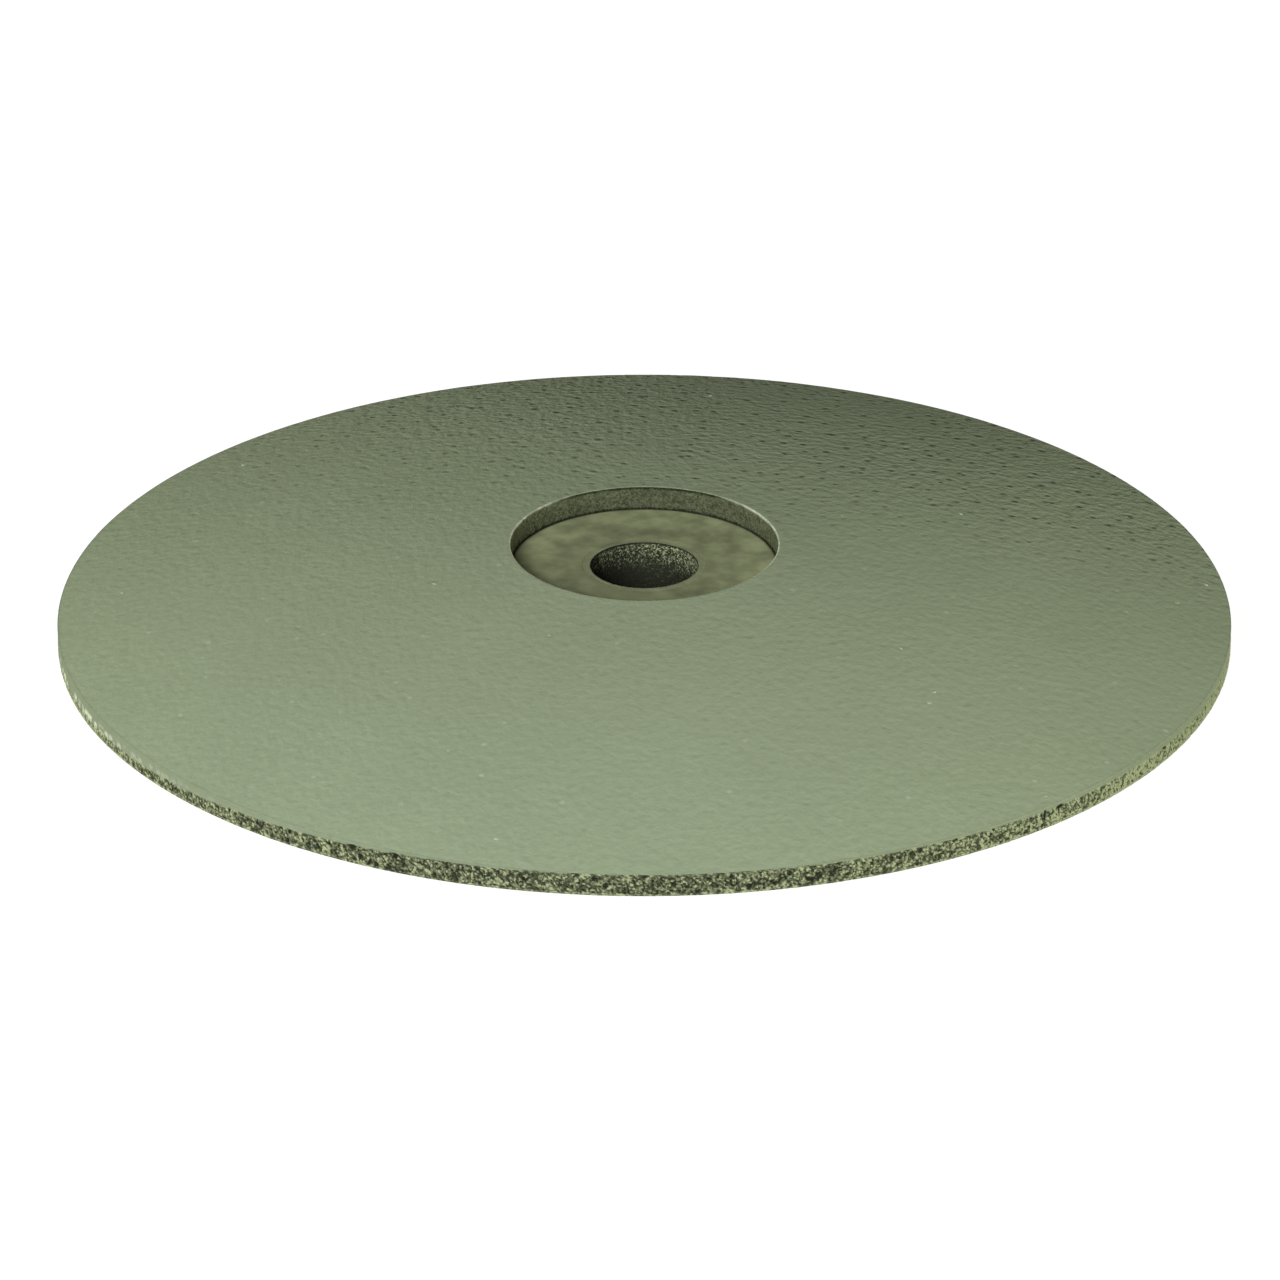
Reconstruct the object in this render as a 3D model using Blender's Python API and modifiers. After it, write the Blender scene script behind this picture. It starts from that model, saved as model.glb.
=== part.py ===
"""Lens-shaped diamond grinding wheel, 22 mm across, made to be screwed to a small mandrel.

The wheel lies flat: its axis is Z and its origin is the middle of the bore, halfway between the
two faces. It is built up from a double-coned core, a domed diamond facing on each side, a diamond
ring round the edge, a sleeved bore and a fibre washer at the bottom of each round recess, with the
resin layers that hold them together. The outlines are in millimetres, as (radius, height) points
that run clockwise, so that the outer side of each turned piece runs from top to bottom.
"""
import math

import bpy

MM = 0.001

# The wheel from outside
OUTER_RADIUS = 11.0
RIM_HEIGHT = 0.44
THICKNESS = 3.5
CROWN_RADIUS = 46.0
RECESS_RADIUS = 2.5
RECESS_DEPTH = 0.45
BORE_RADIUS = 1.0

# The pieces inside it
FACING_EDGE = 0.05
RING_INNER_RADIUS = 9.7
WASHER_THICKNESS = 0.25
SLEEVE_WALL = 0.15
BOND = 0.03
GAP = 0.01
EDGE_BREAK = 0.03

# Facets
CROWN_STEPS = 7
WHEEL_SEGMENTS = 72
HUB_SEGMENTS = 48
SHARP_ANGLE = math.radians(25)

# Heights and radii that follow from them
CROWN_TOP = THICKNESS / 2
FLOOR_HEIGHT = CROWN_TOP - RECESS_DEPTH
RIM_TOP = RIM_HEIGHT / 2
CROWN_INNER_RADIUS = RECESS_RADIUS + EDGE_BREAK
CONE_RIM = RIM_TOP - FACING_EDGE
BOND_SEAT = GAP + BOND + GAP
SLEEVE_RADIUS = BORE_RADIUS + SLEEVE_WALL
CORE_BORE_RADIUS = SLEEVE_RADIUS + BOND_SEAT
WASHER_BOTTOM = FLOOR_HEIGHT - WASHER_THICKNESS
SEAT_HEIGHT = WASHER_BOTTOM - BOND_SEAT
CORE_RADIUS = RING_INNER_RADIUS - BOND_SEAT


def crown_height(radius):
    """Height of the domed face: an arc from the recess edge down to the rim."""
    run = OUTER_RADIUS - CROWN_INNER_RADIUS
    drop = CROWN_TOP - RIM_TOP
    chord = math.hypot(run, drop)
    reach = math.sqrt(CROWN_RADIUS ** 2 - (chord / 2) ** 2)
    centre_radius = (OUTER_RADIUS + CROWN_INNER_RADIUS) / 2 - reach * drop / chord
    centre_height = (CROWN_TOP + RIM_TOP) / 2 - reach * run / chord
    return centre_height + math.sqrt(CROWN_RADIUS ** 2 - (radius - centre_radius) ** 2)


def cone_height(radius):
    """Height of the straight cone under the facing, where core and ring meet it."""
    along = (radius - RECESS_RADIUS) / (OUTER_RADIUS - RECESS_RADIUS)
    return FLOOR_HEIGHT + (CONE_RIM - FLOOR_HEIGHT) * along


def principled(name, colour, roughness, metallic=0.0):
    """A material with one Principled BSDF; the colour is linear RGB."""
    material = bpy.data.materials.new(name)
    material.use_nodes = True
    shader = material.node_tree.nodes["Principled BSDF"]
    shader.inputs["Base Color"].default_value = (*colour, 1.0)
    shader.inputs["Roughness"].default_value = roughness
    shader.inputs["Metallic"].default_value = metallic
    material.diffuse_color = (*colour, 1.0)
    return material


def turned(name, outline, segments, material, collection):
    """Spin a closed outline round Z into one solid, smooth between its sharp edges."""
    profile = bpy.data.meshes.new(name)
    points = [(radius * MM, 0.0, height * MM) for radius, height in outline]
    edges = [(i, (i + 1) % len(points)) for i in range(len(points))]
    profile.from_pydata(points, edges, [])
    piece = bpy.data.objects.new(name, profile)
    collection.objects.link(piece)

    screw = piece.modifiers.new("Turn", "SCREW")
    screw.axis = "Z"
    screw.angle = math.tau
    screw.steps = segments
    screw.render_steps = segments
    screw.use_merge_vertices = False

    evaluated = piece.evaluated_get(bpy.context.evaluated_depsgraph_get())
    solid = bpy.data.meshes.new_from_object(evaluated)
    piece.modifiers.clear()
    piece.data = solid
    bpy.data.meshes.remove(profile)
    solid.name = name
    solid.shade_smooth()
    solid.set_sharp_from_angle(angle=SHARP_ANGLE)
    solid.materials.clear()
    solid.materials.append(material)
    return piece


def mirrored(outline):
    """The same outline below the middle plane, still clockwise."""
    return [(radius, -height) for radius, height in reversed(outline)]


def both_faces(stem, outline, segments, material, collection):
    """One piece for the upper face and its mirror image for the lower one."""
    turned("upper_" + stem, outline, segments, material, collection)
    turned("lower_" + stem, mirrored(outline), segments, material, collection)


def plain_ring(inner, outer, low, high):
    return [(inner, high), (outer, high), (outer, low), (inner, low)]


def facing_outline():
    """Domed on top, coned below, with the recess wall as its inner edge."""
    step = (OUTER_RADIUS - CROWN_INNER_RADIUS) / CROWN_STEPS
    radii = [CROWN_INNER_RADIUS + i * step for i in range(CROWN_STEPS + 1)]
    crown = [(radius, crown_height(radius)) for radius in radii]
    edge = (RECESS_RADIUS, CROWN_TOP - EDGE_BREAK)
    under = [(OUTER_RADIUS, CONE_RIM), (RECESS_RADIUS, FLOOR_HEIGHT)]
    return [edge] + crown + under


def facing_bond_outline():
    """A thin resin layer between a facing and the core, cone on cone."""
    inner = RECESS_RADIUS + 2 * GAP
    outer = CORE_RADIUS - 2 * GAP
    upper = [(r, cone_height(r) - GAP) for r in (inner, outer)]
    lower = [(r, cone_height(r) - GAP - BOND) for r in (outer, inner)]
    return upper + lower


def core_outline():
    """Double cone with a round seat for a washer in each face and a plain bore."""
    top = [
        (CORE_BORE_RADIUS, SEAT_HEIGHT),
        (RECESS_RADIUS, SEAT_HEIGHT),
        (RECESS_RADIUS, FLOOR_HEIGHT - BOND_SEAT),
        (CORE_RADIUS, cone_height(CORE_RADIUS) - BOND_SEAT),
    ]
    return top + mirrored(top)


def rim_ring_outline():
    """A tapered ring between the two facings; its outer face is the working edge."""
    top = [(r, cone_height(r) - GAP) for r in (RING_INNER_RADIUS, OUTER_RADIUS)]
    return top + mirrored(top)


def sleeve_outline():
    """Bore lining, as long as the hub is thick, with its edges broken."""
    top = [
        (BORE_RADIUS, FLOOR_HEIGHT - EDGE_BREAK),
        (BORE_RADIUS + EDGE_BREAK, FLOOR_HEIGHT),
        (SLEEVE_RADIUS - EDGE_BREAK, FLOOR_HEIGHT),
        (SLEEVE_RADIUS, FLOOR_HEIGHT - EDGE_BREAK),
    ]
    return top + mirrored(top)


def washer_outline():
    """Flat fibre washer whose top is the floor of the recess."""
    outer = RECESS_RADIUS - 2 * GAP
    return [
        (SLEEVE_RADIUS + GAP, FLOOR_HEIGHT),
        (outer - EDGE_BREAK, FLOOR_HEIGHT),
        (outer, FLOOR_HEIGHT - EDGE_BREAK),
        (outer, WASHER_BOTTOM),
        (SLEEVE_RADIUS + GAP, WASHER_BOTTOM),
    ]


def build_wheel(collection):
    facing = principled("diamond_facing", (0.262, 0.312, 0.205), 0.72)
    rim = principled("diamond_rim", (0.150, 0.165, 0.085), 0.85)
    core = principled("moulded_core", (0.055, 0.060, 0.045), 0.70)
    fibre = principled("hub_fibre", (0.140, 0.160, 0.085), 0.62)
    sleeve = principled("bore_sleeve", (0.040, 0.042, 0.032), 0.80)
    resin = principled("bond_resin", (0.230, 0.190, 0.080), 0.45)

    turned("core_disc", core_outline(), WHEEL_SEGMENTS, core, collection)
    both_faces("diamond_facing", facing_outline(), WHEEL_SEGMENTS, facing, collection)
    both_faces("facing_bond", facing_bond_outline(), WHEEL_SEGMENTS, resin, collection)

    turned("diamond_rim_ring", rim_ring_outline(), WHEEL_SEGMENTS, rim, collection)
    rim_bond_height = cone_height(RING_INNER_RADIUS) - BOND_SEAT
    rim_bond = plain_ring(CORE_RADIUS + GAP, RING_INNER_RADIUS - GAP, -rim_bond_height, rim_bond_height)
    turned("rim_bond", rim_bond, WHEEL_SEGMENTS, resin, collection)

    turned("bore_sleeve", sleeve_outline(), HUB_SEGMENTS, sleeve, collection)
    sleeve_bond = plain_ring(SLEEVE_RADIUS + GAP, CORE_BORE_RADIUS - GAP, -SEAT_HEIGHT, SEAT_HEIGHT)
    turned("sleeve_bond", sleeve_bond, HUB_SEGMENTS, resin, collection)

    both_faces("hub_washer", washer_outline(), HUB_SEGMENTS, fibre, collection)
    washer_bond = plain_ring(
        CORE_BORE_RADIUS, RECESS_RADIUS - 3 * GAP, SEAT_HEIGHT + GAP, WASHER_BOTTOM - GAP
    )
    both_faces("washer_bond", washer_bond, HUB_SEGMENTS, resin, collection)


def main():
    for item in list(bpy.data.objects):
        bpy.data.objects.remove(item)
    collection = bpy.data.collections.new("diamond_grinding_wheel")
    bpy.context.scene.collection.children.link(collection)
    build_wheel(collection)


main()
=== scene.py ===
"""The looks of a lens-shaped diamond grinding wheel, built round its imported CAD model.

Every piece is turned round Z from rings of points, and its surface is then pressed in or out by
grit, pores, pits and chips. All mesh work here is in millimetres; a mesh is stored in metres.
"""
import math

import bmesh
import bpy
import numpy as np
from mathutils import Matrix, Vector, kdtree


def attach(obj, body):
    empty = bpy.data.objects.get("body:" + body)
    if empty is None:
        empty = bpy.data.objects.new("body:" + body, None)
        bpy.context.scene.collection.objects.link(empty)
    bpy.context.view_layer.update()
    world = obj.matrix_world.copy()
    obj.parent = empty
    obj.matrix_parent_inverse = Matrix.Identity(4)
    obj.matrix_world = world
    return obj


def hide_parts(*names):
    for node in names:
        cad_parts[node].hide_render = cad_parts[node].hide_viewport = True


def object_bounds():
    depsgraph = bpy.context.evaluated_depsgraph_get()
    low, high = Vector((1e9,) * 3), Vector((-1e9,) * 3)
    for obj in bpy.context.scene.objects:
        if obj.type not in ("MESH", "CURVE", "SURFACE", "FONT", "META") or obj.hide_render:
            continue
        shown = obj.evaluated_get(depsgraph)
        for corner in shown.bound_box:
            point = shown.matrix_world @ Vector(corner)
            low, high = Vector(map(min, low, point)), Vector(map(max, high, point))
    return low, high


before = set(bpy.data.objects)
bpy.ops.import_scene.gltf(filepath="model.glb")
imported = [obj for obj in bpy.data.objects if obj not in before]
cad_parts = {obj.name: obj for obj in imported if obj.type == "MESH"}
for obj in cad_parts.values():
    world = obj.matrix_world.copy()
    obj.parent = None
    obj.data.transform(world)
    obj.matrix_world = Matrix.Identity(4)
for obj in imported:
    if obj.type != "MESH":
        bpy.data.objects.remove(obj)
cad_low, cad_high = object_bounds()

MM = 0.001
TAU = math.tau


# ---- Sizes, read from the CAD nodes

def outline_points(node):
    """Each (radius, height) of a turned CAD node, in millimetres."""
    places = np.array([v.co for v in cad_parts[node].data.vertices]) / MM
    outline = np.column_stack([np.hypot(places[:, 0], places[:, 1]), places[:, 2]])
    return np.unique(outline.round(4), axis=0)


facing = outline_points("upper_diamond_facing")
ring = outline_points("diamond_rim_ring")
washer = outline_points("upper_hub_washer")
sleeve = outline_points("bore_sleeve")

RIM = facing[:, 0].max()
RECESS = facing[:, 0].min()
TOP = facing[:, 1].max()
FLOOR = washer[:, 1].max()
FACING_EDGE_LOW = facing[facing[:, 0] > RIM - 0.01, 1].min()
RIM_TOP = facing[facing[:, 0] > RIM - 0.01, 1].max()
RING_INNER = ring[:, 0].min()
RING_INNER_TOP = ring[:, 1].max()
WASHER_INNER = washer[:, 0].min()
WASHER_OUTER = washer[:, 0].max()
WASHER_LOW = washer[:, 1].min()
BORE = sleeve[:, 0].min()

# The dome's height at each radius, from the CAD's facets.
on_crown = (facing[:, 0] > RECESS + 0.02) & (facing[:, 1] > FACING_EDGE_LOW + 0.01)
crown_height = np.poly1d(np.polyfit(facing[on_crown, 0], facing[on_crown, 1], 3))


# ---- Noise: the same numbers on every run, from whole-number cells

def hashed(cells, seed):
    """A number from 0 to 1 for each whole-number cell."""
    mixed = (cells[:, 0] * 73856093) ^ (cells[:, 1] * 19349663) ^ (cells[:, 2] * 83492791)
    mixed = (mixed ^ (seed * 2654435761)) & 0xFFFFFFFF
    for _ in range(2):
        mixed = ((mixed ^ (mixed >> 16)) * 0x45D9F3B) & 0xFFFFFFFF
    return (mixed ^ (mixed >> 16)) / 0xFFFFFFFF


def smooth_noise(places, size, seed):
    """Smooth noise from -1 to 1 whose lumps are about size across."""
    scaled = places / size
    cell = np.floor(scaled).astype(np.int64)
    part = scaled - cell
    part = part * part * (3 - 2 * part)
    total = np.zeros(len(places))
    for corner in np.ndindex(2, 2, 2):
        weight = np.prod(np.where(corner, part, 1 - part), axis=1)
        total += weight * hashed(cell + corner, seed)
    return total * 2 - 1


def nearest_grain(places, size, seed):
    """Each place's distance to the nearest grain's middle, in grain sizes, and that grain's number."""
    scaled = places / size
    cell = np.floor(scaled).astype(np.int64)
    best = np.full(len(places), 9.0)
    number = np.zeros(len(places))
    for step in np.ndindex(3, 3, 3):
        near = cell + np.array(step) - 1
        middle = near + np.column_stack([hashed(near, seed + k) for k in (1, 2, 3)])
        distance = np.linalg.norm(scaled - middle, axis=1)
        closer = distance < best
        best[closer] = distance[closer]
        number[closer] = hashed(near, seed)[closer]
    return best, number


def ramp(values, low, high):
    """0 below low, 1 above high, smooth between them."""
    part = np.clip((values - low) / (high - low), 0, 1)
    return part * part * (3 - 2 * part)


# ---- Turned skins

class Skin:
    """A closed skin of rings round Z. A ring has as many points as the next one, or twice or half."""

    def __init__(self):
        self.radius, self.height, self.count, self.cut = [], [], [], []

    def add(self, radius, height, count, cut=0.0):
        """Rings at these radii and heights; cut is 1 on open grit and 0 where the surface is pressed."""
        radius, height, cut = np.broadcast_arrays(radius, height, cut)
        self.radius += radius.ravel().tolist()
        self.height += height.ravel().tolist()
        self.cut += cut.ravel().tolist()
        self.count += [count] * radius.size

    def points(self, over=False):
        """Each point's place, outward normal and ring; over mirrors them to the lower face."""
        count = np.array(self.count)
        self.first = np.concatenate([[0], np.cumsum(count)[:-1]])
        rings = np.repeat(np.arange(len(count)), count)
        step = np.arange(count.sum()) - self.first[rings]
        angle = TAU * step / count[rings]
        outline = np.column_stack([self.radius, self.height])
        along = np.roll(outline, -1, axis=0) - np.roll(outline, 1, axis=0)
        along /= np.linalg.norm(along, axis=1)[:, None]
        across = np.column_stack([-along[:, 1], along[:, 0]])[rings]
        round_z = np.column_stack([np.cos(angle), np.sin(angle)])
        places = np.column_stack([round_z * outline[rings, :1], outline[rings, 1]])
        normals = np.column_stack([round_z * across[:, :1], across[:, 1]])
        side = np.array([1, 1, -1 if over else 1])
        return places * side, normals * side, rings

    def faces(self):
        """Faces as lists of (ring, step) corners, all seen anticlockwise from outside."""
        quads, triangles = [], []
        for a, here in enumerate(self.count):
            b = (a + 1) % len(self.count)
            there = self.count[b]
            j = np.arange(min(here, there))
            if here == there:
                quads.append([(a, j), (b, j), (b, j + 1), (a, j + 1)])
            elif there == 2 * here:
                triangles.append([(a, j), (b, 2 * j), (b, 2 * j + 1)])
                triangles.append([(a, j), (b, 2 * j + 1), (a, j + 1)])
                triangles.append([(a, j + 1), (b, 2 * j + 1), (b, 2 * j + 2)])
            else:
                triangles.append([(a, 2 * j), (b, j), (a, 2 * j + 1)])
                triangles.append([(a, 2 * j + 1), (b, j), (b, j + 1)])
                triangles.append([(a, 2 * j + 1), (b, j + 1), (a, 2 * j + 2)])
        return [self.stacked(group) for group in (quads, triangles) if group]

    @staticmethod
    def stacked(group):
        """(rings, steps) arrays of shape (faces, corners)."""
        rings = [np.column_stack([np.full(len(j), r) for r, j in face]) for face in group]
        steps = [np.column_stack([j for r, j in face]) for face in group]
        return np.vstack(rings), np.vstack(steps)

    def build(self, name, places, values, chart, material, over=False):
        """The mesh object, with one number a point for each name in values and a map from chart.

        An over piece has its places mirrored to the lower face already, so its faces are turned round.
        """
        count = np.array(self.count)
        faces, charted = [], []
        for rings, steps in self.faces():
            if over:
                rings, steps = rings[:, ::-1], steps[:, ::-1]
            faces += (self.first[rings] + steps % count[rings]).tolist()
            turns = steps / count[rings]
            charted.append(chart(rings, turns).reshape(-1, 2))
        mesh = bpy.data.meshes.new(name)
        mesh.from_pydata((places * MM).tolist(), [], faces)
        for key, numbers in values.items():
            mesh.attributes.new(key, "FLOAT", "POINT").data.foreach_set("value", numbers.astype(np.float32))
        layer = mesh.uv_layers.new(name="OFBake")
        layer.uv.foreach_set("vector", np.vstack(charted).astype(np.float32).ravel())
        mesh.shade_smooth()
        return linked(name, mesh, material)


def linked(name, mesh, material):
    """An object of this mesh in this material, in the scene."""
    mesh.materials.append(material)
    piece = bpy.data.objects.new(name, mesh)
    bpy.context.scene.collection.objects.link(piece)
    return piece


CHART_RADIUS = 0.49
ROW_MARGIN = 0.02
END_MARGIN = 0.01


def round_chart(reach):
    """A map that lays rings out as circles, each as far from the middle as reach says, from 0 to 1."""
    reach = np.asarray(reach) * CHART_RADIUS

    def chart(rings, turns):
        angle = TAU * turns
        return 0.5 + reach[rings][..., None] * np.stack([np.cos(angle), np.sin(angle)], axis=-1)

    return chart


def strip_chart(across, rows):
    """A map that cuts the rings into rows of equal length, with across from 0 to 1 over each row."""
    across = np.asarray(across) * (1 - 2 * ROW_MARGIN) + ROW_MARGIN

    def chart(rings, turns):
        row = np.floor(turns.mean(axis=1, keepdims=True) * rows)
        up = (row + across[rings]) / rows
        along = (turns * rows - row) * (1 - 2 * END_MARGIN) + END_MARGIN
        return np.stack([along, up], axis=-1)

    return chart


# ---- Surfaces: lengths in millimetres

GRIT_SEED = 7
COARSE_GRAIN = 0.095
FINE_GRAIN = 0.044
PORE = 0.16
PORE_DEPTH = 0.025
DRIFT = 0.45

# Only the cells numbered above this hold a pore.
PORE_FROM = 0.78

# The part of the edge that wears most and carries a painted highlight: its direction, anticlockwise from
# the right, and its half width.
WORN_AND_LIT_AT = math.radians(192)
WORN_AND_LIT_WIDTH = math.radians(17)

# Marks on the rim: degrees right of the front, height, half width and half height in millimetres.
HOLES = (
    (42, 0.05, 0.04, 0.17), (44, 0.12, 0.11, 0.07), (61, 0.11, 0.10, 0.09), (-29, 0.11, 0.09, 0.07),
    (110, -0.05, 0.10, 0.09), (171, 0.08, 0.12, 0.06), (-138, -0.02, 0.09, 0.09),
)
PALE_GRAINS = (
    (-9, -0.09, 0.13, 0.07), (-14, -0.08, 0.11, 0.08), (-32, -0.04, 0.13, 0.10), (57, 0.02, 0.12, 0.09),
    (85, -0.06, 0.12, 0.08), (-110, 0.04, 0.12, 0.08), (150, -0.05, 0.11, 0.09),
)

PITS = 620
PIT_SIZES = (0.08, 0.14)
PIT_DEPTH = 0.009


def open_grit(places):
    """Height and tone of cut, open grit: packed grains in two sizes with pores between them, painted dark
    as shade.
    """
    coarse, coarse_number = nearest_grain(places, COARSE_GRAIN, GRIT_SEED)
    fine, fine_number = nearest_grain(places, FINE_GRAIN, GRIT_SEED + 10)
    pore, pore_number = nearest_grain(places, PORE, GRIT_SEED + 20)
    drift = smooth_noise(places, DRIFT, GRIT_SEED + 30)
    height = 0.008 * (0.5 - coarse) + 0.014 * (0.5 - fine) + 0.010 * (fine_number - 0.5)
    # The tone differs at random from grain to grain; painted light makes the grains' middles lighter, and
    # painted shade darkens between grains and in the pores.
    tone = 0.9 * (fine_number - 0.5) + 0.18 * (coarse_number - 0.5) + 0.8 * (0.45 - fine) + 0.06 * drift
    hole = ramp(0.40 - pore, 0.0, 0.14) * (pore_number > PORE_FROM)
    return height - PORE_DEPTH * hole, tone - 0.8 * hole


def ranked(numbers):
    """The numbers spread evenly from 0 to 1, in the same order."""
    return np.argsort(np.argsort(numbers)) / len(numbers)


def pressed_skin(places, seed):
    """Height of a pressed face: shallow waves of three lengths, a few thousandths deep."""
    waves = 0.0020 * smooth_noise(places, 1.3, seed) + 0.0008 * smooth_noise(places, 0.5, seed + 1)
    return waves + 0.0011 * smooth_noise(places, 0.19, seed + 2) - 0.004


def floor_waves(places):
    """How far a recess floor lies off its plane."""
    return 0.0035 * smooth_noise(places, 0.75, 31) + 0.0015 * smooth_noise(places, 0.3, 32) - 0.005


def scattered(rng, number, inner, outer):
    """Places spread evenly over a ring between two radii."""
    radius = np.sqrt(rng.uniform(inner ** 2, outer ** 2, number))
    angle = rng.uniform(0, TAU, number)
    return np.column_stack([radius * np.cos(angle), radius * np.sin(angle)])


def pit_depth(places, chosen, rng):
    """How far round pits sink each of the chosen points of a face."""
    depth = np.zeros(len(places))
    tree = kdtree.KDTree(int(chosen.sum()))
    for index in np.flatnonzero(chosen):
        tree.insert((places[index, 0], places[index, 1], 0), int(index))
    tree.balance()
    middles = scattered(rng, PITS, RECESS + 0.2, RIM - 0.15)
    sizes = rng.uniform(*PIT_SIZES, PITS)
    shares = rng.uniform(0.15, 1, PITS)
    for middle, size, share in zip(middles, sizes, shares):
        for _, index, away in tree.find_range((*middle, 0), size):
            depth[index] = max(depth[index], (1 - (away / size) ** 2) ** 2 * PIT_DEPTH * share)
    return depth


def sideways(places):
    """How far a place is round to the side, from -1 at the left over 0 at the front and back to 1."""
    return places[:, 0] / np.hypot(places[:, 0], places[:, 1])


def painted_side_light(places):
    """Painted light and shade: how much lighter or darker the grit gets towards the left and right."""
    side = sideways(places)
    return np.where(side < 0, 0.70 * side ** 4 - 0.30 * side ** 2, 0.62 * side ** 3)


def lap_edge(places):
    """The height on the rim at which the lapped skin ends."""
    side = sideways(places)
    lap = np.where(side < 0, 0.32, 0.18) * side ** 2
    return RIM_TOP - lap - 0.014 * smooth_noise(places, 0.07, GRIT_SEED + 40)


def bare(places):
    """1 on the rim where the grit is bare and 0 where the pressed skin laps over it, most at the sides."""
    return ramp(lap_edge(places) - places[:, 2], -0.014, 0.010)


def chips(places, seed, size, share):
    """1 in the middle of each broken spot of an edge and 0 between them; share is how many there are."""
    away, number = nearest_grain(places, size, seed)
    return ramp(0.62 - away, 0.0, 0.30) * (number < share)


def chips_and_highlight(places):
    """Pale broken spots along the edge of the lapped skin, all round but few except at the left, where the
    edge wears most and the spots are also a painted highlight.
    """
    angle = np.arctan2(places[:, 1], places[:, 0]) % TAU
    worn_and_lit = np.exp(-((angle - WORN_AND_LIT_AT) / WORN_AND_LIT_WIDTH) ** 2)
    near = np.exp(-((places[:, 2] - lap_edge(places) - 0.05) / 0.060) ** 2)
    return chips(places, 106, 0.17, 0.80) * near * (0.03 + 0.77 * worn_and_lit)


def lap_shade(places):
    """How strongly the lapped skin is darkened as painted shade: less on the right."""
    side = sideways(places)
    return np.where(side < 0, 0.90, 0.95 - 0.42 * side ** 2)


def ragged(places, seed):
    """Patchy noise from 0.35 to 1, for how ragged an edge is."""
    return 1 - 0.65 * ramp(smooth_noise(places, 0.12, seed + 8), -0.5, 0.5)


def marked(places, marks):
    """1 in the middle of each mark on the rim and 0 outside them."""
    azimuths = np.degrees(np.arctan2(places[:, 0], -places[:, 1]))
    strongest = np.zeros(len(places))
    for azimuth, up, wide, tall in marks:
        across = np.radians(azimuths - azimuth) * RIM / wide
        inside = ramp(1 - np.hypot(across, (places[:, 2] - up) / tall), 0.0, 0.5)
        strongest = np.maximum(strongest, inside)
    return strongest


# ---- Materials

def build_material(name, roughness, specular=0.5):
    """Two helpers for a new material: add makes a node, and finish links them up and returns it."""
    material = bpy.data.materials.new(name)
    material.use_nodes = True
    tree = material.node_tree
    shader = tree.nodes["Principled BSDF"]
    shader.inputs["Roughness"].default_value = roughness
    shader.inputs["Specular IOR Level"].default_value = specular

    def add(kind, inputs=None, **settings):
        node = tree.nodes.new(kind)
        for key, value in settings.items():
            setattr(node, key, value)
        for key, value in (inputs or {}).items():
            if isinstance(value, bpy.types.NodeSocket):
                tree.links.new(value, node.inputs[key])
            else:
                node.inputs[key].default_value = value
        return node

    def finish(colour, normal=None, rough=None):
        for key, value in (("Base Color", colour), ("Normal", normal), ("Roughness", rough)):
            if value is not None:
                tree.links.new(value, shader.inputs[key])
        return material

    return add, finish


def in_millimetres(add):
    """The piece's own coordinates, in millimetres."""
    own = add("ShaderNodeTexCoord").outputs["Object"]
    return add("ShaderNodeVectorMath", {0: own, "Scale": 1 / MM}, operation="SCALE").outputs["Vector"]


def noise(add, where, scale, detail=2.0, rough=0.5):
    """Cloudy noise with about scale lumps to the millimetre."""
    inputs = {"Vector": where, "Scale": scale, "Detail": detail, "Roughness": rough}
    return add("ShaderNodeTexNoise", inputs).outputs["Fac"]


def calculate(add, operation, a, b=0.0, c=0.0):
    """One Math node."""
    return add("ShaderNodeMath", {0: a, 1: b, 2: c}, operation=operation).outputs[0]


def stretched(add, value, low, high, to_low=0.0, to_high=1.0):
    """A value carried from one range to another and kept inside it."""
    inputs = {"Value": value, "From Min": low, "From Max": high, "To Min": to_low, "To Max": to_high}
    return add("ShaderNodeMapRange", inputs).outputs["Result"]


# The Mix node's colour sockets, which share their names with its other kinds.
MIX_A, MIX_B, MIX_RESULT = 6, 7, 2


def mixed(add, share, a, b):
    """A colour between a and b, which are colours or sockets."""
    node = add("ShaderNodeMix", {"Factor": share}, data_type="RGBA")
    for index, value in ((MIX_A, a), (MIX_B, b)):
        if isinstance(value, bpy.types.NodeSocket):
            node.id_data.links.new(value, node.inputs[index])
        else:
            node.inputs[index].default_value = (*value, 1.0)
    return node.outputs[MIX_RESULT]


def brightened(add, colour, amount):
    """A colour times a number."""
    scaled = add("ShaderNodeVectorMath", {0: colour, "Scale": amount}, operation="SCALE")
    return scaled.outputs["Vector"]


def colour_steps(add, value, steps):
    """A colour ramp through (position, colour) steps."""
    node = add("ShaderNodeValToRGB", {"Fac": value})
    stops = node.color_ramp.elements
    while len(stops) < len(steps):
        stops.new(0.5)
    for stop, (position, colour) in zip(stops, steps):
        stop.position = position
        stop.color = (*colour, 1.0)
    return node.outputs["Color"]


def number_on_mesh(add, name):
    """The number that the mesh holds for each of its points under this name."""
    return add("ShaderNodeAttribute", attribute_name=name).outputs["Fac"]


def bumped(add, height, depth_mm, under=None):
    """A bump of the given depth in millimetres, on top of an earlier one."""
    inputs = {"Height": height, "Strength": 1.0, "Distance": depth_mm * MM}
    if under is not None:
        inputs["Normal"] = under
    return add("ShaderNodeBump", inputs).outputs["Normal"]


def olive(lightness):
    """The colour of bare grit and resin at a lightness."""
    return (0.933 * lightness, 1.061 * lightness, 0.565 * lightness)


def olive_steps(add, tone, steps):
    """Bare grit's colour from its tone, through (tone, lightness) steps."""
    return colour_steps(add, tone, [(at, olive(lightness)) for at, lightness in steps])


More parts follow.
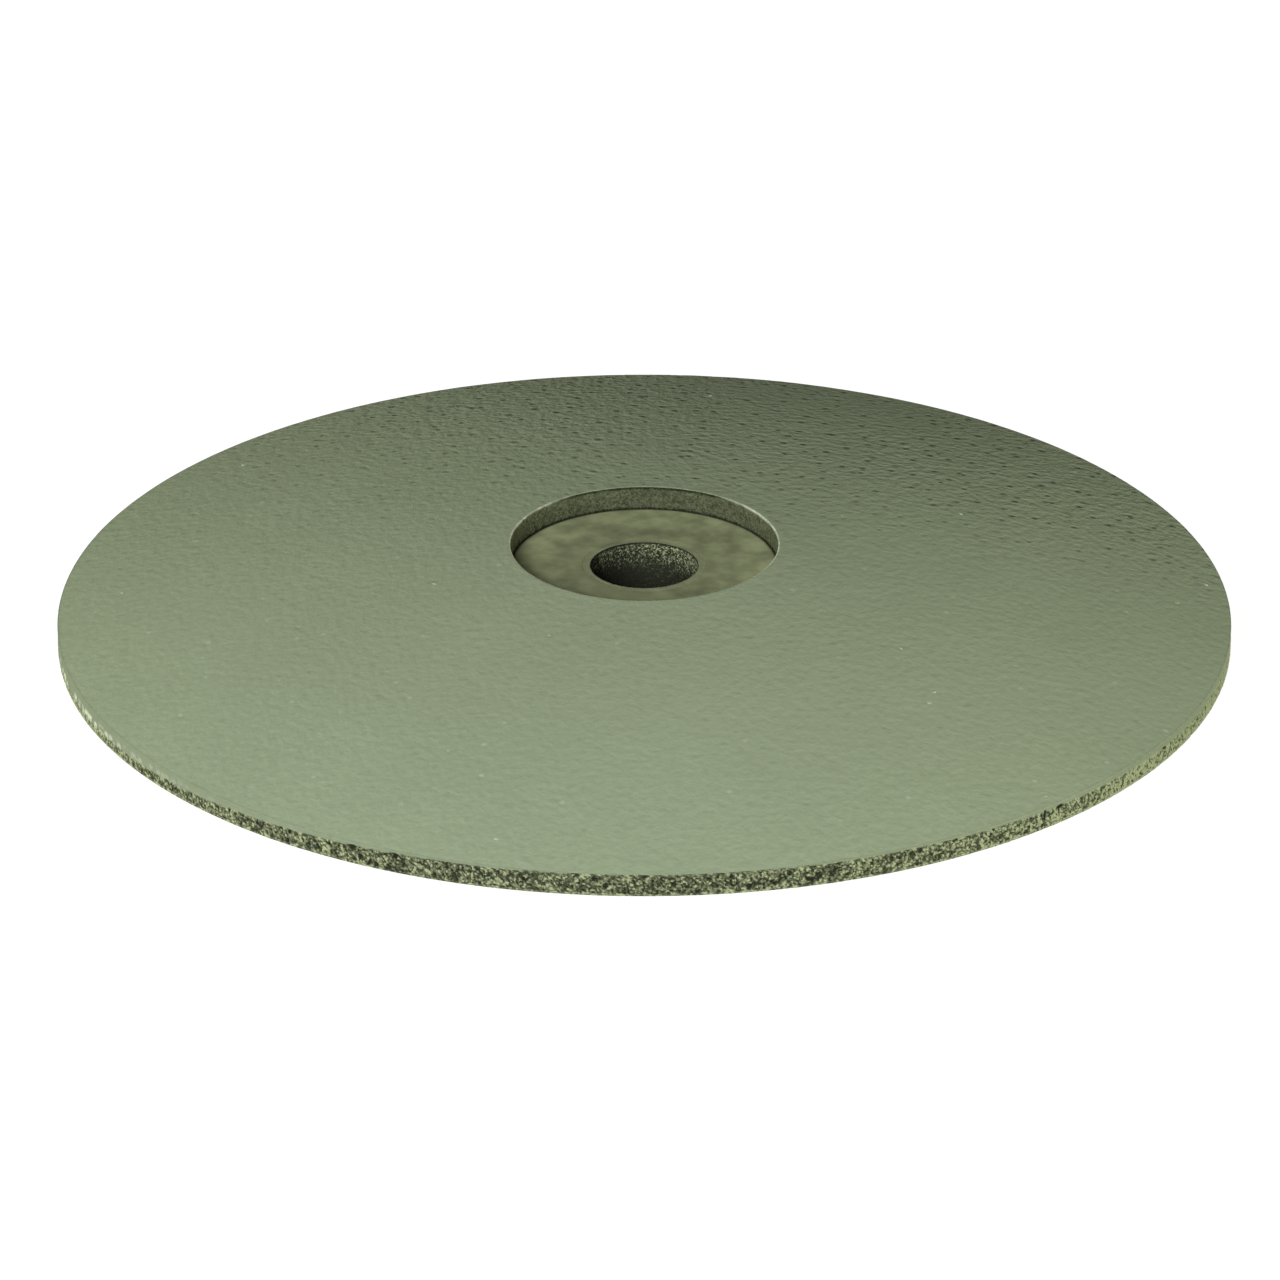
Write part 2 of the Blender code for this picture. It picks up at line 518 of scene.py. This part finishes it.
GRIT_STEPS = (
    (0.0, 0.009), (0.15, 0.018), (0.33, 0.032), (0.5, 0.055), (0.67, 0.088), (0.85, 0.135), (1.0, 0.21),
)
WALL_STEPS = ((0.0, 0.014), (0.3, 0.034), (0.5, 0.050), (0.7, 0.066), (1.0, 0.100))
BORE_STEPS = ((0.0, 0.011), (0.42, 0.017), (0.62, 0.050), (0.80, 0.15), (1.0, 0.24))
SKIN = (0.2065, 0.2444, 0.1503)
PALE_DOTS = (0.45, 0.49, 0.39)
PALE_CHIP_AND_HIGHLIGHT = (0.46, 0.48, 0.37)
FIBRE = (0.168, 0.186, 0.096)
WALL_FOOT_SHADE = (0.020, 0.022, 0.014)
PALE_HALO = (0.20, 0.22, 0.13)
GRAIN_LIGHT, GRAIN_DARK = (0.31, 0.35, 0.24), (0.24, 0.28, 0.18)
CORE_LIGHT, CORE_DARK = (0.075, 0.080, 0.060), (0.040, 0.044, 0.034)
RESIN_LIGHT, RESIN_DARK = (0.060, 0.052, 0.028), (0.036, 0.031, 0.016)


def grains(add, where, scale, share):
    """A number from 0 to 1 for each fine grain, stirred into the mesh's own tone, and a height."""
    cells = add("ShaderNodeTexVoronoi", {"Vector": where, "Scale": scale})
    own = add("ShaderNodeSeparateColor", {0: cells.outputs["Color"]}).outputs[0]
    own = calculate(add, "MULTIPLY_ADD", own, share, number_on_mesh(add, "tone"))
    height = calculate(add, "MULTIPLY", cells.outputs["Distance"], -1.0)
    return calculate(add, "SUBTRACT", own, share * 0.5), height


def dimples(add, where):
    """Small round hollows in most cells of a flat grid: up to 1 in their middles and 0 between them."""
    cells = add("ShaderNodeTexVoronoi", {"Vector": where, "Scale": 2.5}, voronoi_dimensions="2D")
    own = add("ShaderNodeSeparateColor", {0: cells.outputs["Color"]}).outputs
    reach = stretched(add, own[0], 0, 1, 0.17, 0.27)
    hollow = stretched(add, cells.outputs["Distance"], 0.05, reach, 1.0, 0.0)
    return calculate(add, "MULTIPLY", hollow, stretched(add, own[1], 0.30, 0.62))


def skin_colour(add, where):
    """Pressed face: grey-green, slightly cloudy, with a few pale grains just under the surface."""
    cloud = stretched(add, noise(add, where, 0.45, 3.0, 0.55), 0.3, 0.7, 0.975, 1.025)
    speckle = stretched(add, noise(add, where, 7.0, 3.0, 0.6), 0.25, 0.75, 0.95, 1.05)
    skin = add("ShaderNodeCombineXYZ", {0: SKIN[0], 1: SKIN[1], 2: SKIN[2]}).outputs[0]
    skin = brightened(add, brightened(add, skin, cloud), speckle)
    dots = add("ShaderNodeTexVoronoi", {"Vector": where, "Scale": 1.15}).outputs["Distance"]
    return mixed(add, stretched(add, dots, 0.035, 0.075, 0.22, 0.0), skin, PALE_DOTS)


def diamond_layer_material():
    """Pressed skin on the dome, open grit at the rim and on the recess wall, pale chips and painted
    highlights on both edges.
    """
    add, finish = build_material("diamond_layer", 0.75, 0.03)
    where = in_millimetres(add)
    wall = number_on_mesh(add, "wall")
    tone, height = grains(add, where, 27.0, 0.50)
    wall_tone, _ = grains(add, where, 34.0, 0.5)
    grit = mixed(add, wall, olive_steps(add, tone, GRIT_STEPS), olive_steps(add, wall_tone, WALL_STEPS))
    coarse = number_on_mesh(add, "coarse")
    dimple = calculate(add, "MULTIPLY", dimples(add, where), coarse)
    # Painted shade: the skin that laps over the rim is darkened.
    painted_lap_shade = stretched(add, number_on_mesh(add, "lap"), 0, 1, 1.0, 0.56)
    skin = brightened(add, skin_colour(add, where), painted_lap_shade)
    # Painted shade: the dimples are also darkened in colour, most at the back.
    skin = brightened(add, skin, stretched(add, dimple, 0, 1, 1.0, 0.42))
    cut = number_on_mesh(add, "cut")
    colour = mixed(add, cut, skin, grit)
    # Pale chips, partly a painted highlight along the rim edge and the recess lip.
    colour = mixed(add, number_on_mesh(add, "chip_and_highlight"), colour, PALE_CHIP_AND_HIGHLIGHT)
    rough = calculate(add, "MULTIPLY_ADD", coarse, 0.75, 0.25)
    ripple = calculate(add, "MULTIPLY", noise(add, where, 6.0, 2.0, 0.5), rough)
    normal = bumped(add, ripple, 0.050)
    normal = bumped(add, dimple, -0.022, normal)
    normal = bumped(add, calculate(add, "MULTIPLY", height, cut), 0.006, normal)
    fine = noise(add, where, 24.0, 2.0, 0.6)
    return finish(colour, normal, stretched(add, fine, 0.3, 0.7, 0.68, 0.82))


def fibre_colour(add, where):
    """Pressed fibre: olive, in soft patches."""
    cloud = noise(add, where, 2.6, 3.0, 0.5)
    dark, light = (tuple(c * k for c in FIBRE) for k in (0.76, 1.24))
    return mixed(add, stretched(add, cloud, 0.32, 0.68), dark, light)


def floor_fibre_material():
    """The recess floor, palest where the wall begins, in part painted light against the wall's shadow, and
    with painted shade in the corner where it meets the wall.
    """
    add, finish = build_material("pressed_fibre", 0.7, 0.12)
    where = in_millimetres(add)
    # Partly painted light: the floor gets paler towards the wall, lifting the wall's shadow.
    pale = stretched(add, number_on_mesh(add, "pale"), 0, 1, 1.0, 1.25)
    colour = brightened(add, fibre_colour(add, where), pale)
    # Painted shade: the floor is dark in the corner where it meets the wall.
    colour = mixed(add, number_on_mesh(add, "edge"), colour, WALL_FOOT_SHADE)
    fine = noise(add, where, 5.0, 3.0, 0.5)
    return finish(colour, bumped(add, fine, 0.006), stretched(add, fine, 0.3, 0.7, 0.62, 0.78))


def sleeve_material():
    """The lining: open grit in the bore with painted shade, and fibre with a pale halo on its end faces."""
    add, finish = build_material("bore_lining", 0.75, 0.1)
    where = in_millimetres(add)
    tone, height = grains(add, where, 38.0, 0.8)
    grit = olive_steps(add, tone, BORE_STEPS)
    colour = mixed(add, number_on_mesh(add, "cut"), fibre_colour(add, where), grit)
    colour = mixed(add, number_on_mesh(add, "halo"), colour, PALE_HALO)
    return finish(colour, bumped(add, height, 0.006))


def inner_material(name, light, dark, scale, roughness, depth):
    """A moulded or poured inner piece: two near colours in a fine cloud, slightly uneven."""
    add, finish = build_material(name, roughness)
    where = in_millimetres(add)
    cloud = stretched(add, noise(add, where, scale, 4.0, 0.6), 0.3, 0.7)
    return finish(mixed(add, cloud, dark, light), bumped(add, noise(add, where, scale * 4), depth))


def diamond_material():
    """Single pale grains, slightly cloudy."""
    add, finish = build_material("diamond_grit", 0.7, 0.05)
    where = in_millimetres(add)
    cloud = stretched(add, noise(add, where, 9.0, 1.0), 0.3, 0.7)
    return finish(mixed(add, cloud, GRAIN_DARK, GRAIN_LIGHT))


# ---- Pieces: lengths in millimetres

# Rounded edges, and the angles of the rings that round them.
LIP = 0.014
FLOOR_LIP = 0.004
CORNER_RADIUS = 0.03
CORNER_DROP = CORNER_RADIUS * 0.6
CORNER = np.linspace(0, math.pi / 2, 4)

# The gap between pieces, and how far at least the grit and the dome stay inside the CAD.
SEAM = 0.004
INSIDE = 0.0005

CHIP_DEPTH = 0.010
CRYSTALS = 16
CRYSTAL_SIZES = (0.035, 0.060)

# A facing's last rings lie on its unseen underside.
HIDDEN_RINGS = 3

# How many points a ring has.
WALL_POINTS = 768
EDGE_POINTS = 1536
RIM_POINTS = 3072
BORE_POINTS = 256
FLOOR_POINTS = 384

# The dome's rings: where a band starts, how far apart its rings are, and each ring's points.
DOME_START = RECESS + LIP + 0.03
SHOULDER_START = 10.86
DOME_BANDS = ((DOME_START, 0.05, 768), (2.72, 0.075, 384), (5.2, 0.1, 768), (10.62, 0.06, 1536))


def facing_skin():
    """Rings up the recess wall, over the lip, across the dome, round the rim edge and back underneath."""
    skin = Skin()
    skin.add(RECESS, np.linspace(FLOOR, TOP - LIP - 0.02, 15), WALL_POINTS, 1.0)
    middle = RECESS + LIP
    lip = (middle - LIP * np.cos(CORNER), TOP - LIP + LIP * np.sin(CORNER))
    skin.add(*lip, WALL_POINTS, (1.0, 1.0, 0.9, 0.0))
    ends = [start for start, _, _ in DOME_BANDS[1:]] + [SHOULDER_START]
    for (start, step, count), end in zip(DOME_BANDS, ends):
        radii = np.arange(start, end - step / 2, step)
        skin.add(radii, crown_height(radii), count)
    corner = RIM - CORNER_RADIUS
    radii = np.linspace(SHOULDER_START, corner, 6)
    skin.add(radii, crown_height(radii), EDGE_POINTS)
    base = crown_height(corner) - CORNER_DROP
    out = corner + CORNER_RADIUS * np.sin(CORNER[1:])
    skin.add(out, base + CORNER_DROP * np.cos(CORNER[1:]), EDGE_POINTS, (0.6, 1.0, 1.0))
    skin.add(RIM, (FACING_EDGE_LOW + 0.005, FACING_EDGE_LOW), EDGE_POINTS, 1.0)
    for radius, count in ((RIM - 0.06, EDGE_POINTS), (RIM - 0.2, 768), (RIM - 0.6, 384)):
        along = (radius - RECESS) / (RIM - RECESS)
        skin.add(radius, FLOOR + (FACING_EDGE_LOW - FLOOR) * along, count)
    return skin


def build_facing(name, material, seed, over=False):
    """One facing: dome, lip, recess wall and rim edge."""
    skin = facing_skin()
    places, normals, rings = skin.points(over)
    radius = np.hypot(places[:, 0], places[:, 1])
    edge = radius > RIM - 0.001
    normals[edge] = np.column_stack([places[edge, :2] / RIM, np.zeros(edge.sum())])
    height = np.abs(places[:, 2])
    cut = np.array(skin.cut)[rings]
    at_rim = cut * (radius > RIM - 0.1)
    lap = np.zeros(len(places)) if over else at_rim * (1 - bare(places))
    cut = cut - lap
    hidden = rings >= len(skin.count) - HIDDEN_RINGS
    dome = (np.abs(normals[:, 2]) > 0.9) & ~hidden
    grit, mix = open_grit(places)
    quiet = ramp(radius, RECESS + 0.05, RECESS + 0.4) * ramp(-radius, -RIM + 0.02, -RIM + 0.3)
    wall = ramp(-radius, -RECESS - 0.05, -RECESS)
    shift = pressed_skin(places, seed) * ramp(radius, RECESS + 0.02, RECESS + 0.3)
    shift -= pit_depth(places, dome, np.random.default_rng(seed)) * quiet
    shift += cut * (grit * (0.6 - 0.25 * wall) - 0.006)

    # Painted highlight: pale chips along the recess lip, shown only at its left and right.
    near_lip = np.clip(1 - np.hypot(radius - RECESS, height - TOP) / 0.045, 0, 1)
    near_lip *= ramp(np.abs(sideways(places)), 0.5, 0.9)
    wear = ragged(places, seed)
    # Painted highlight: the rim edge's pale chips gather at the left.
    rim_chip_and_highlight = chips_and_highlight(places) * ramp(radius, RIM - 0.10, RIM - 0.04)
    lip_chip_and_highlight = np.clip(near_lip * 1.8 * wear, 0, 1)
    shift -= CHIP_DEPTH * rim_chip_and_highlight + 0.006 * lip_chip_and_highlight * wear
    shift = np.minimum(shift, -INSIDE)
    shift[hidden | (rings == 0)] = 0
    places = places + normals * shift[:, None]

    # Painted shade: the recess wall is darkest under the lip and where it meets the floor.
    up = (height - FLOOR) / (TOP - FLOOR)
    shade = 0.6 * ramp(up, 0.86, 0.95) + 0.6 * ramp(-up, -0.10, -0.02)
    # Painted light and shade: the rim grit gets lighter or darker towards the left and right.
    rim_tone = 0.8 * ranked(mix) + (0.30 if over else 0.12) + painted_side_light(places)
    tone = np.where(wall > 0, 0.40 + 0.4 * ranked(mix) - shade, rim_tone)
    chip_and_highlight = np.clip(rim_chip_and_highlight + 0.7 * lip_chip_and_highlight, 0, 1)

    # The pressed skin is smooth in front and coarse at the back, most of all at the back right.
    right, back = places[:, 0] / RIM, places[:, 1] / RIM
    coarse = 0.10 + 0.90 * ramp(back * (1 + right), -0.1, 0.75)
    values = {"tone": tone, "cut": cut, "wall": wall, "chip_and_highlight": chip_and_highlight}
    values |= {"lap": lap * lap_shade(places), "coarse": coarse * (1 - cut)}
    reach = np.interp(np.arange(len(skin.count)), *facing_reach(skin))
    return skin.build(name, places, values, round_chart(reach), material, over)


def facing_reach(skin):
    """How far out each ring lies on the facing's map: the wall inside the dome, the underside outermost."""
    last = len(skin.count)
    lip = next(i for i, r in enumerate(skin.radius) if r > RECESS + 0.001)
    places = [0, lip]
    reach = [0.60 * RECESS / RIM, 0.995 * RECESS / RIM]
    for i in range(lip + 1, last - HIDDEN_RINGS):
        places.append(i)
        reach.append(min(skin.radius[i] / RIM, 0.985))
    edge = last - HIDDEN_RINGS
    places += [edge, last - 1]
    reach += [0.998, 1.0]
    return places, reach


def rim_skin():
    """The outer face in fine rows, then coarser rings over the hidden top, inside and bottom."""
    skin = Skin()
    edge = FACING_EDGE_LOW - 0.001
    outer_top = 0.16
    slope = (RING_INNER_TOP - outer_top) / (RIM - RING_INNER)
    steps = ((RIM - 0.9, 384), (RIM - 0.3, 768), (RIM - 0.08, 1536))
    skin.add(RING_INNER, RING_INNER_TOP, 192)
    for radius, count in steps:
        skin.add(radius, outer_top + (RIM - radius) * slope, count)
    rows = np.linspace(edge - 0.005, 0.005 - edge, 16)
    skin.add(RIM, (edge, *rows, -edge), RIM_POINTS, 1.0)
    for radius, count in reversed(steps):
        skin.add(radius, -outer_top - (RIM - radius) * slope, count)
    skin.add(RING_INNER, -RING_INNER_TOP, 192)
    return skin


def build_rim(material):
    """The granular rim, with its holes, pale grains, chips and painted highlight, and the skin that laps
    over it.
    """
    skin = rim_skin()
    places, normals, rings = skin.points()
    outer = np.array(skin.cut)[rings]
    cut = outer * bare(places)
    outward = np.column_stack([places[:, :2] / RIM, np.zeros(len(places))])
    normals = np.where(outer[:, None] > 0, outward, normals)
    grit, mix = open_grit(places)
    hole = marked(places, HOLES)
    chip_and_highlight = outer * chips_and_highlight(places)
    shift = cut * (grit * 0.8 - 0.05 * hole) - CHIP_DEPTH * chip_and_highlight - 0.009 * outer
    shift = np.minimum(shift, -INSIDE * outer)
    tone = np.zeros(len(places))
    tone[outer > 0] = ranked(mix[outer > 0])
    # Painted shade: the holes are painted darkest. Painted light and shade: the grit gets lighter or darker
    # towards the sides.
    tone = (tone + 0.01 + painted_side_light(places) + 0.4 * marked(places, PALE_GRAINS)) * (1 - hole)
    places = places + normals * shift[:, None]

    # The outer rows, from ring 4 to ring 21, take most of the map.
    across = np.interp(np.arange(len(skin.count)), [0, 4, 21, 25], [0.02, 0.06, 0.94, 0.98])
    values = {"tone": tone, "cut": cut, "lap": (outer - cut) * lap_shade(places), "chip_and_highlight": chip_and_highlight}
    return skin.build("diamond_rim", places, values, strip_chart(across, 10), material)


def build_sleeve(material):
    """The bore lining: fine rows down the bore, a thin lip at each mouth and plain rings outside."""
    skin = Skin()
    middle, end = BORE + LIP, FLOOR - LIP
    outer = WASHER_INNER - 0.002
    skin.add(BORE, np.linspace(-FLOOR + LIP, end, 106), BORE_POINTS, 1.0)
    mouth_out, mouth_in = LIP * np.sin(CORNER), LIP * np.cos(CORNER)
    skin.add(middle - mouth_in[1:], end + mouth_out[1:], BORE_POINTS, (1.0, 1.0, 0.5))
    skin.add((BORE + 0.035, BORE + 0.08, outer - SEAM), FLOOR, BORE_POINTS)
    skin.add(outer, (FLOOR - SEAM, -FLOOR + SEAM), BORE_POINTS)
    skin.add(outer - SEAM, -FLOOR, BORE_POINTS)
    skin.add((BORE + 0.08, BORE + 0.035), -FLOOR, BORE_POINTS)
    skin.add(middle - mouth_out[:-1], -end - mouth_in[:-1], BORE_POINTS, (0.5, 1.0, 1.0))
    places, normals, rings = skin.points()
    cut = np.array(skin.cut)[rings]
    radius = np.hypot(places[:, 0], places[:, 1])
    grit, mix = open_grit(places)
    places = places + normals * (cut * (grit * 0.35 - 0.006))[:, None]
    flat = (cut < 1) & (np.abs(places[:, 2]) > FLOOR - 0.001)
    places[flat] += normals[flat] * floor_waves(places[flat])[:, None]

    # Painted shade: the grit is darkest in the middle of the bore's length, and it is dark right at its
    # mouths. Painted light: it is a little lighter on the right.
    deep = ramp(np.abs(places[:, 2]), FLOOR - 0.72, FLOOR - 0.05)
    mouth = ramp(np.abs(places[:, 2]), FLOOR - 0.03, FLOOR - 0.012)
    tone = 0.52 + 0.16 * ranked(mix) - 0.52 * (1 - deep) - 0.7 * mouth + 0.10 * sideways(places)
    halo = 0.55 * ramp(radius, BORE + 0.012, BORE + 0.035) * ramp(-radius, -outer, -BORE - 0.03)
    across = np.linspace(0, 1, len(skin.count))
    values = {"tone": tone, "cut": cut, "halo": halo * (cut < 1)}
    return skin.build("bore_lining", places, values, strip_chart(across, 2), material)


def build_washer(name, material, over=False):
    """A recess floor: pressed fibre, gently uneven, a little rounded at both edges."""
    skin = Skin()
    lip, step = FLOOR_LIP, 0.035
    outer = RECESS - SEAM
    inner_middle, outer_middle, base = WASHER_INNER + lip, outer - lip, FLOOR - lip
    skin.add(WASHER_OUTER, [FLOOR - 0.05, WASHER_LOW], FLOOR_POINTS)
    skin.add(WASHER_INNER, [WASHER_LOW, base], FLOOR_POINTS)
    skin.add(inner_middle - lip * np.cos(CORNER[1:]), base + lip * np.sin(CORNER[1:]), FLOOR_POINTS)
    skin.add(np.arange(inner_middle + step, outer_middle - 0.02, step), FLOOR, FLOOR_POINTS)
    skin.add(outer_middle + lip * np.sin(CORNER), base + lip * np.cos(CORNER), FLOOR_POINTS)
    places, _, _ = skin.points(over)
    radius = np.hypot(places[:, 0], places[:, 1])
    face = np.abs(places[:, 2]) > FLOOR - 0.006
    side = np.array([0, 0, -1 if over else 1])
    places[face] += floor_waves(places[face])[:, None] * side
    reach = np.interp(np.arange(len(skin.count)), [0, len(skin.count) - 1], [0.3, 1.0])
    # edge is the painted shade in the corner by the wall; pale is the lightening towards the wall, in part
    # painted light.
    values = {"edge": ramp(radius, outer - 0.05, outer - 0.012), "pale": ramp(radius, 1.3, 2.3)}
    return skin.build(name, places, values, round_chart(reach), material, over)


def build_crystals(name, material, seed):
    """Single flat diamond grains that stand a little out of the pressed face."""
    rng = np.random.default_rng(seed)
    shape = bmesh.new()
    for middle in scattered(rng, CRYSTALS, RECESS + 0.9, RIM - 0.25):
        radius = math.hypot(*middle)
        size = rng.uniform(*CRYSTAL_SIZES)
        place = Matrix.Translation(Vector((*middle, crown_height(radius) - 0.2 * size)))
        turn = Matrix.Rotation(rng.uniform(0, TAU), 4, "Z")
        turn = turn @ Matrix.Rotation(rng.uniform(-0.1, 0.1), 4, "X")
        grown = Matrix.Diagonal((size * rng.uniform(1.2, 1.8), size, size * 0.3, 1))
        made = bmesh.ops.create_icosphere(shape, subdivisions=1, radius=1.0, matrix=place @ turn @ grown)
        for vertex in made["verts"]:
            vertex.co += Vector(rng.normal(scale=(0.1 * size, 0.1 * size, 0.03 * size)))
    mesh = bpy.data.meshes.new(name)
    shape.transform(Matrix.Scale(MM, 4))
    shape.to_mesh(mesh)
    shape.free()
    return linked(name, mesh, material)


def turn_over(piece):
    """Mirrors a piece to the lower face and keeps its faces outward."""
    piece.data.transform(Matrix.Diagonal((1, 1, -1, 1)))
    piece.data.flip_normals()
    return piece


def place(piece, slot, *nodes):
    """Fixes a piece to the wheel's one body and hides the CAD nodes that it stands for; slot, its finish,
    is not used.
    """
    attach(piece, "root")
    if nodes:
        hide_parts(*nodes)


def build_wheel():
    """Every visible piece, and the materials of the CAD nodes inside."""
    pressed = diamond_layer_material()
    fibre = floor_fibre_material()
    diamond = diamond_material()

    upper = build_facing("upper_facing", pressed, 101)
    lower = build_facing("lower_facing", pressed, 202, over=True)
    place(upper, "diamond_facing", "upper_diamond_facing")
    place(lower, "diamond_facing", "lower_diamond_facing")
    place(build_crystals("upper_diamond_grains", diamond, 5), "diamond_facing")
    place(turn_over(build_crystals("lower_diamond_grains", diamond, 6)), "diamond_facing")

    place(build_rim(pressed), "diamond_rim", "diamond_rim_ring")
    place(build_sleeve(sleeve_material()), "bore_sleeve", "bore_sleeve")
    place(build_washer("upper_recess_floor", fibre), "hub_fibre", "upper_hub_washer")
    place(build_washer("lower_recess_floor", fibre, over=True), "hub_fibre", "lower_hub_washer")

    core = inner_material("moulded_core", CORE_LIGHT, CORE_DARK, 3.0, 0.7, 0.01)
    resin = inner_material("bond_resin", RESIN_LIGHT, RESIN_DARK, 5.0, 0.35, 0.003)
    for name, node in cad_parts.items():
        if name == "core_disc":
            node.data.materials[0] = core
        elif name.endswith("bond"):
            node.data.materials[0] = resin


# ---- Floor, light and camera

def build_floor():
    """A pale, round floor that glows, so that shadows on it stay faint."""
    bpy.ops.mesh.primitive_circle_add(vertices=96, radius=2.0, fill_type="NGON")
    floor = bpy.context.object
    floor.name = "floor"
    floor.location.z = cad_low.z
    material = bpy.data.materials.new("pale_floor")
    material.use_nodes = True
    inputs = material.node_tree.nodes["Principled BSDF"].inputs
    inputs["Base Color"].default_value = (0.15, 0.15, 0.15, 1)
    inputs["Roughness"].default_value = 0.8
    inputs["Specular IOR Level"].default_value = 0.1
    inputs["Emission Color"].default_value = (1, 1, 1, 1)
    inputs["Emission Strength"].default_value = 0.97
    floor.data.materials.append(material)


def softbox(name, azimuth, elevation, distance, size, power, blue):
    """A rectangular light looking at the wheel, in metres and watts.

    Azimuth is in degrees from the camera's side, positive to the right. Blue is the colour's blue share.
    """
    light = bpy.data.lights.new(name, "AREA")
    light.shape = "RECTANGLE"
    light.size, light.size_y = size
    light.energy = power
    light.color = (1, 1, blue)
    lamp = bpy.data.objects.new(name, light)
    bpy.context.scene.collection.objects.link(lamp)
    lamp.visible_camera = False
    a, e = math.radians(azimuth), math.radians(elevation)
    away = Vector((math.sin(a) * math.cos(e), -math.cos(a) * math.cos(e), math.sin(e)))
    lamp.location = away * distance
    lamp.rotation_euler = away.to_track_quat("Z", "Y").to_euler()


def build_light():
    """A soft key from the front left and two low, weak side lights, in a dim room seen as white."""
    softbox("key", -18, 27, 0.15, (0.065, 0.055), 0.375, 1.07)
    softbox("left", -100, 4.5, 0.15, (0.08, 0.018), 0.16, 0.88)
    softbox("right", 70, 4.5, 0.15, (0.08, 0.018), 0.17, 0.88)
    world = bpy.data.worlds.new("white_room")
    bpy.context.scene.world = world
    world.use_nodes = True
    tree = world.node_tree
    lit = tree.nodes["Background"]
    lit.inputs["Strength"].default_value = 0.10
    seen = tree.nodes.new("ShaderNodeBackground")
    seen.inputs["Strength"].default_value = 1.0
    for shade, blue in ((lit, 0.86), (seen, 1.0)):
        shade.inputs["Color"].default_value = (1, 1, blue, 1)
    path = tree.nodes.new("ShaderNodeLightPath")
    mix = tree.nodes.new("ShaderNodeMixShader")
    tree.links.new(path.outputs["Is Camera Ray"], mix.inputs[0])
    tree.links.new(lit.outputs[0], mix.inputs[1])
    tree.links.new(seen.outputs[0], mix.inputs[2])
    tree.links.new(mix.outputs[0], tree.nodes["World Output"].inputs["Surface"])
    bpy.context.scene.view_settings.view_transform = "Standard"


def build_camera():
    """A long lens, 25 degrees above the wheel and 15 wheel widths away."""
    elevation = math.radians(25.3)
    distance = 0.330
    aim_left, aim_low = 0.08, 0.23
    camera = bpy.data.cameras.new("camera")
    camera.lens = 495
    camera.clip_start, camera.clip_end = 0.01, 10
    view = bpy.data.objects.new("camera", camera)
    bpy.context.scene.collection.objects.link(view)
    back = Vector((0, -math.cos(elevation), math.sin(elevation)))
    up = Vector((0, math.sin(elevation), math.cos(elevation)))
    aim = Vector((-aim_left, 0, 0)) * MM - up * aim_low * MM
    view.location = aim + back * distance
    view.rotation_euler = back.to_track_quat("Z", "Y").to_euler()
    bpy.context.scene.camera = view


build_wheel()
build_floor()
build_light()
build_camera()
